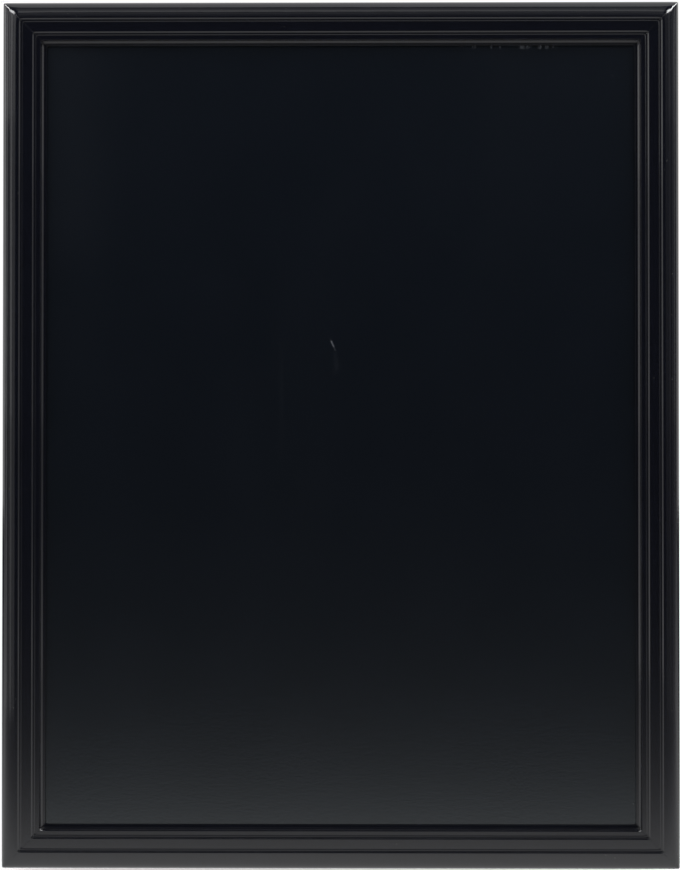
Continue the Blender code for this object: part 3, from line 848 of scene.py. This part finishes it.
def zinc_material():
    """Zinc plate: pale spangle, fine scratches and dull patches."""
    made, tree, shader = new_material("zinc_scene")
    shader.inputs["Metallic"].default_value = 1.0
    coords = object_coords(tree)
    spangle = tree.nodes.new("ShaderNodeTexVoronoi")
    spangle.inputs["Scale"].default_value = SPANGLE_SCALE
    tree.links.new(coords, spangle.inputs["Vector"])
    bright = mixed(tree, spangle.outputs["Color"], *ZINC_TINTS)
    dull = noise(tree, coords, scale=240.0, detail=6.0)
    patches = ranged(tree, dull, low=0.0, high=0.7, from_low=0.55, from_high=0.75)
    tree.links.new(mixed(tree, patches, bright, ZINC_DULL), shader.inputs["Base Color"])
    scratches = noise(tree, vector_node(tree, "MULTIPLY", coords, ZINC_SCRATCHES), scale=5200.0, detail=2.0)
    worn = math_node(tree, "ADD", dull, scratches)
    gloss = ranged(tree, worn, low=0.22, high=0.50, from_low=0.7, from_high=1.3)
    tree.links.new(gloss, shader.inputs["Roughness"])
    bumped(tree, shader, worn, depth=0.00003)
    return made


def rubber_material():
    """Moulded rubber: matt, slightly pitted and dusty."""
    made, tree, shader = new_material("rubber_scene")
    coords = object_coords(tree)
    dust = noise(tree, coords, scale=420.0, detail=6.0)
    dusty = ranged(tree, dust, low=0.0, high=1.0, from_low=0.35, from_high=0.7)
    tree.links.new(mixed(tree, dusty, *RUBBER_TINTS), shader.inputs["Base Color"])
    dullness = ranged(tree, noise(tree, coords, scale=900.0), low=0.6, high=0.8)
    tree.links.new(dullness, shader.inputs["Roughness"])
    bumped(tree, shader, noise(tree, coords, scale=1600.0, detail=3.0), depth=0.00008)
    return made


def add_floor():
    """A pale floor under the board: white to the camera outside the shadow, a painted glow fading away in
    reflections.
    """
    shape = bmesh.new()
    bmesh.ops.create_grid(shape, x_segments=1, y_segments=1, size=FLOOR_REACH)
    bmesh.ops.translate(shape, vec=(0, 0, BOTTOM_Z - FLOOR_DROP), verts=shape.verts)
    mesh = bpy.data.meshes.new("floor")
    shape.to_mesh(mesh)
    shape.free()
    made, tree, shader = new_material("floor")
    shader.inputs["Base Color"].default_value = (*FLOOR_COLOUR, 1.0)
    shader.inputs["Roughness"].default_value = FLOOR_ROUGHNESS
    nodes = tree.nodes
    path = nodes.new("ShaderNodeLightPath")
    split = nodes.new("ShaderNodeSeparateXYZ")
    tree.links.new(object_coords(tree), split.inputs["Vector"])
    away = math_node(tree, "ABSOLUTE", split.outputs["Y"])
    # In reflections the floor glows, brightest by the board: a painted pool of light
    faded = math_node(tree, "POWER", math_node(tree, "DIVIDE", away, FLOOR_FADE), FLOOR_FADE_POWER)
    near = math_node(tree, "DIVIDE", 1.0, math_node(tree, "ADD", faded, 1.0))
    lit = math_node(tree, "ADD", near, FLOOR_GLOW)
    beside = math_node(tree, "SUBTRACT", math_node(tree, "ABSOLUTE", split.outputs["X"]), BOARD_WIDTH / 2)
    clear = math_node(tree, "MAXIMUM", away, beside)
    bare = ranged(tree, clear, 0.0, 1.0, *FLOOR_SHADOW)
    to_camera = math_node(tree, "MULTIPLY", bare, path.outputs["Is Camera Ray"])
    shown = math_node(tree, "MAXIMUM", to_camera, path.outputs["Is Glossy Ray"])
    strength = math_node(tree, "MAXIMUM", lit, path.outputs["Is Camera Ray"])
    white = nodes.new("ShaderNodeEmission")
    tree.links.new(strength, white.inputs["Strength"])
    mix = nodes.new("ShaderNodeMixShader")
    tree.links.new(shown, mix.inputs["Fac"])
    tree.links.new(shader.outputs["BSDF"], mix.inputs[1])
    tree.links.new(white.outputs["Emission"], mix.inputs[2])
    tree.links.new(mix.outputs["Shader"], nodes["Material Output"].inputs["Surface"])
    mesh.materials.append(made)
    floor = bpy.data.objects.new("floor", mesh)
    bpy.context.scene.collection.objects.link(floor)


def add_world():
    """White to the camera, and otherwise dim in front of the board and bright behind it."""
    world = bpy.data.worlds.new("studio")
    bpy.context.scene.world = world
    world.use_nodes = True
    tree = world.node_tree
    background = tree.nodes["Background"]
    background.inputs["Color"].default_value = (1.0, 1.0, 1.0, 1.0)
    heading = tree.nodes.new("ShaderNodeTexCoord").outputs["Generated"]
    split = tree.nodes.new("ShaderNodeSeparateXYZ")
    tree.links.new(heading, split.inputs["Vector"])
    level = ranged(tree, split.outputs["Y"], WORLD_FRONT, WORLD_BEHIND, *WORLD_EDGE)
    path = tree.nodes.new("ShaderNodeLightPath")
    strength = math_node(tree, "MAXIMUM", level, path.outputs["Is Camera Ray"])
    tree.links.new(strength, background.inputs["Strength"])


def add_lamp(name, place, aim, size, radiance):
    """A soft box: an area lamp, square on to what it is aimed at, whose surface has this radiance."""
    data = bpy.data.lights.new(name, "AREA")
    data.shape = "RECTANGLE"
    data.size, data.size_y = size
    data.energy = radiance * math.pi * size[0] * size[1]
    lamp = bpy.data.objects.new(name, data)
    bpy.context.scene.collection.objects.link(lamp)
    lamp.location = place
    lamp.rotation_euler = (Vector(aim) - Vector(place)).to_track_quat("-Z", "Y").to_euler()
    lamp.visible_camera = False


def add_lights():
    """Soft strips and boxes, each aimed at the part of the frame that mirrors it."""
    half_width = BOARD_WIDTH / 2
    for (side, angle), radiances in SIDE_STRIPS.items():
        turn = math.radians(angle)
        x = side * (half_width + SIDE_DISTANCE * math.sin(turn))
        y = -SIDE_DISTANCE * math.cos(turn)
        for z, radiance in zip(SIDE_HEIGHTS, radiances):
            add_lamp(f"side_strip_{angle}", (x, y, z), (side * half_width, 0, z), SIDE_STRIP, radiance)
    for angle, distance, width, radiance in TOP_STRIPS:
        turn = math.radians(angle)
        place = (0, -distance * math.cos(turn), TOP_Z + distance * math.sin(turn))
        add_lamp(f"top_strip_{angle}", place, (0, 0, TOP_Z), (TOP_LENGTH, width), radiance)
    for angle, radiances in CORNER_BOXES.items():
        turn = math.radians(angle)
        reach = CORNER_DISTANCE * math.sin(turn) * DIAGONAL
        for side, radiance in zip((-1, 1), radiances):
            corner = Vector((side * half_width, 0, TOP_Z))
            place = corner + Vector((side * reach, -CORNER_DISTANCE * math.cos(turn), reach))
            add_lamp(f"corner_box_{angle}", place, corner, CORNER_BOX, radiance)


def add_camera():
    """The camera, level and square on but for its pitch and yaw."""
    data = bpy.data.cameras.new("camera")
    data.lens = CAMERA_LENS
    camera = bpy.data.objects.new("camera", data)
    bpy.context.scene.collection.objects.link(camera)
    camera.location = CAMERA_PLACE
    camera.rotation_euler = Euler((math.radians(90 + CAMERA_PITCH), 0, math.radians(CAMERA_YAW)))
    bpy.context.scene.camera = camera


LACQUER = lacquer_material()
BACK_WOOD = back_wood_material()
COAT = coat_material()
HARDBOARD = hardboard_material()
ZINC = zinc_material()
RUBBER = rubber_material()

add_frame()
add_panel()
for joint in frame["joints"]:
    add_ring(joint)
screws = sorted(node for node in frame["nodes"] if node.endswith("_screw"))
for node, turn in zip(screws, SCREW_TURNS):
    add_screw(node, turn)
for node in ("left_bumper", "right_bumper"):
    add_bumper(node)
for node in frame["nodes"]:
    if node.startswith(("panel_point", "v_nail")) or node.endswith("_strap"):
        add_stamped(node)
add_floor()
add_world()
add_lights()
add_camera()
bpy.context.scene.view_settings.view_transform = "Standard"
